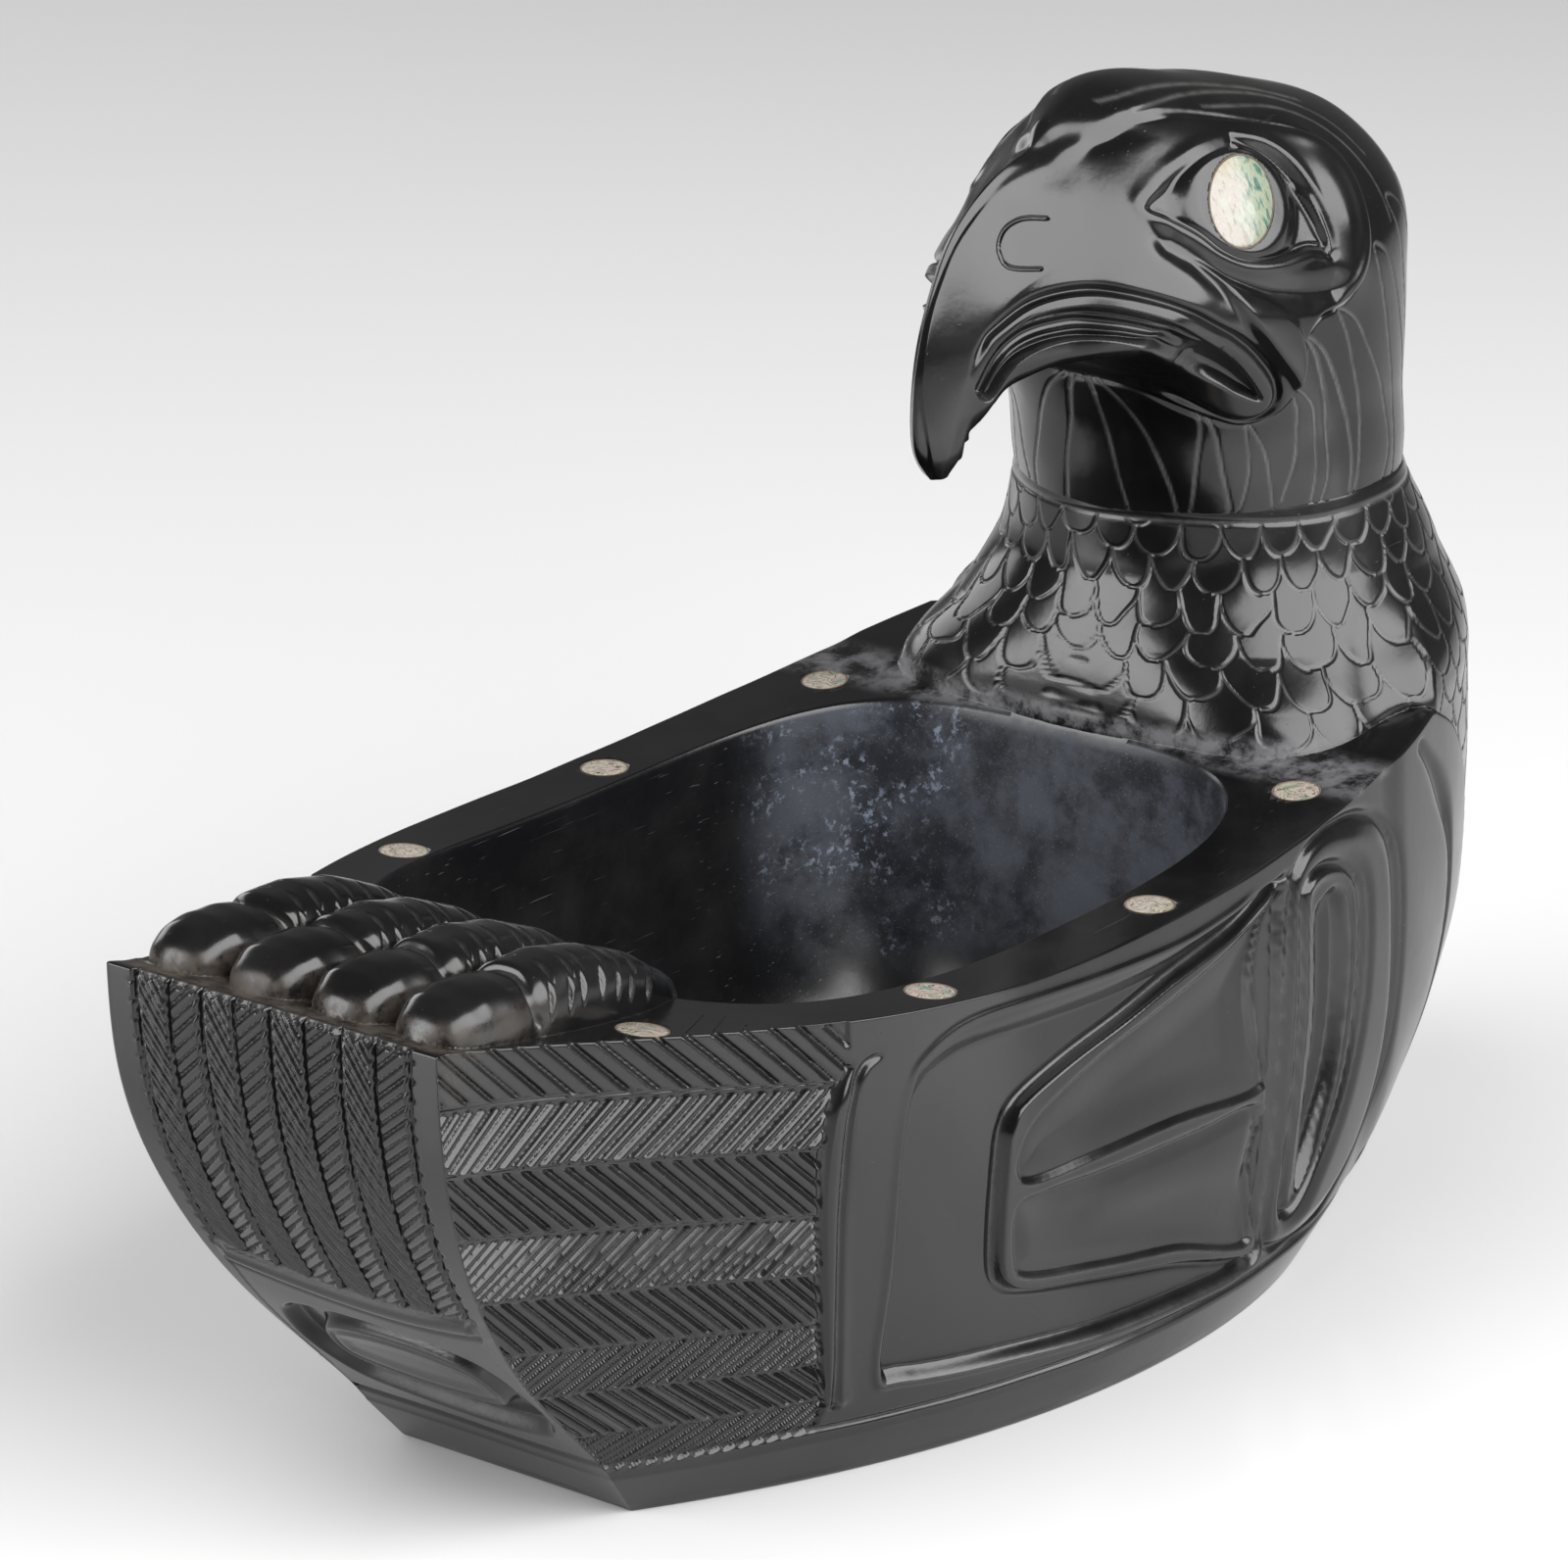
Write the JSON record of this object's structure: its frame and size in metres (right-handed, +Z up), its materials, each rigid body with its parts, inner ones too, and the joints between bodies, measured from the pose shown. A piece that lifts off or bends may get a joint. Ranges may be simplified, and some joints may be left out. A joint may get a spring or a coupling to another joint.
{
  "type": "carved stone bird bowl",
  "caption": "Oval bowl carved from one block of black stone as a bird on its back, with a tail panel, folded wings, toes over the rim, a raised hooked-beak head and shell inlays.",
  "frame": {"origin": "centre of the foot's flat underside, on the table", "axes": "+Z up; +X towards the bird's head, -X towards its tail and toes; the bird's right wing is on the -Y side, where the camera stands"},
  "size_m": [0.33, 0.1402, 0.2154],
  "materials": {
    "stone": "satin",
    "shell": "satin",
    "cement": "matte"
  },
  "bodies": {
    "root": {"bowl_body": "stone", "rim_disc_right_1": "shell", "rim_disc_right_2": "shell", "rim_disc_right_3": "shell", "rim_disc_right_4": "shell", "rim_disc_left_1": "shell", "rim_disc_left_2": "shell", "rim_disc_left_3": "shell", "rim_disc_left_4": "shell", "eye_shell_right": "shell", "eye_shell_left": "shell", "rim_bed_right_1": "cement", "rim_bed_right_2": "cement", "rim_bed_right_3": "cement", "rim_bed_right_4": "cement", "rim_bed_left_1": "cement", "rim_bed_left_2": "cement", "rim_bed_left_3": "cement", "rim_bed_left_4": "cement", "eye_bed_right": "cement", "eye_bed_left": "cement"}
  },
  "joints": []
}
